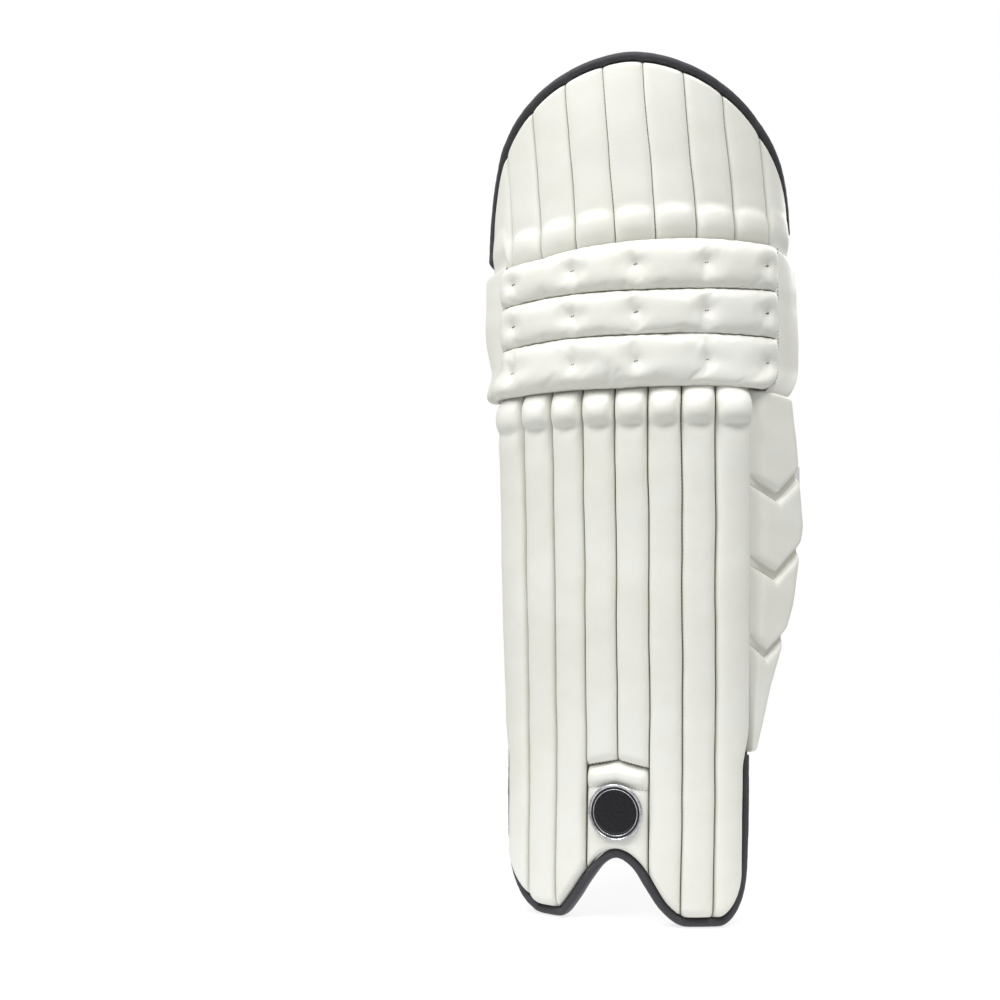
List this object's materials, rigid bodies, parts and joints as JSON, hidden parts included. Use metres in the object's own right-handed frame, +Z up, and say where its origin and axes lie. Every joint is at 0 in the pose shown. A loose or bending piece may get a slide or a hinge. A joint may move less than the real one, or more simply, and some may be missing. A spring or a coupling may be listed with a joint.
{
  "type": "cricket batting pad",
  "caption": "Ivory cricket batting pad with ribbed shin and thigh flap, tufted knee rolls, quilted side wing, padded camouflage lining and three webbing straps.",
  "frame": {"origin": "centre of the bounding box, on the floor that the two foot lobes stand on", "axes": "+Z up the shin, -Y out of the front of the pad, +X towards the outer side of the leg"},
  "size_m": [0.2713, 0.1335, 0.7119],
  "materials": {
    "ivory_leather": "satin",
    "charcoal_binding": "matte",
    "camouflage_cloth": "matte",
    "air_mesh": "matte",
    "foot_lining": "satin",
    "webbing": "matte",
    "clear_plastic": "gloss",
    "grey_rubber": "satin",
    "label": "matte",
    "badge": "gloss"
  },
  "bodies": {
    "root": {"top_rib_1": "ivory_leather", "top_rib_2": "ivory_leather", "top_rib_3": "ivory_leather", "top_rib_4": "ivory_leather", "top_rib_5": "ivory_leather", "top_rib_6": "ivory_leather", "top_rib_7": "ivory_leather", "top_rib_8": "ivory_leather", "top_rib_9": "ivory_leather", "knee_roll_upper": "ivory_leather", "knee_roll_middle": "ivory_leather", "knee_roll_lower": "ivory_leather", "knee_side_inner": "ivory_leather", "knee_side_outer": "ivory_leather", "shin_rib_1": "ivory_leather", "shin_rib_2": "ivory_leather", "shin_rib_3": "ivory_leather", "shin_rib_4": "ivory_leather", "shin_rib_5": "ivory_leather", "shin_rib_6": "ivory_leather", "shin_rib_7": "ivory_leather", "shin_rib_8": "ivory_leather", "instep_patch": "ivory_leather", "front_badge": "badge", "outer_wing_panel_1": "ivory_leather", "outer_wing_panel_2": "ivory_leather", "outer_wing_panel_3": "ivory_leather", "outer_wing_panel_4": "ivory_leather", "inner_wing_lower": "ivory_leather", "inner_wing_upper": "ivory_leather", "bottom_binding": "charcoal_binding", "top_binding": "charcoal_binding", "top_lining": "camouflage_cloth", "shin_lining": "ivory_leather", "instep_lining_inner": "foot_lining", "instep_lining_centre": "foot_lining", "instep_lining_outer": "foot_lining", "knee_bolster_inner": "air_mesh", "knee_bolster_centre": "camouflage_cloth", "knee_bolster_outer": "air_mesh", "shin_bolster_outer": "air_mesh", "shin_bolster_inner": "air_mesh", "shin_bolster_centre": "camouflage_cloth", "top_strap_anchor": "webbing", "top_strap_ring": "clear_plastic", "top_strap": "webbing", "top_strap_patch": "ivory_leather", "top_strap_tab": "grey_rubber", "middle_strap_anchor": "webbing", "middle_strap_ring": "clear_plastic", "middle_strap": "webbing", "middle_strap_tab": "label", "bottom_strap_anchor": "webbing", "bottom_strap_ring": "clear_plastic", "bottom_strap": "webbing", "bottom_strap_patch": "ivory_leather", "bottom_strap_tab": "grey_rubber"}
  },
  "joints": []
}
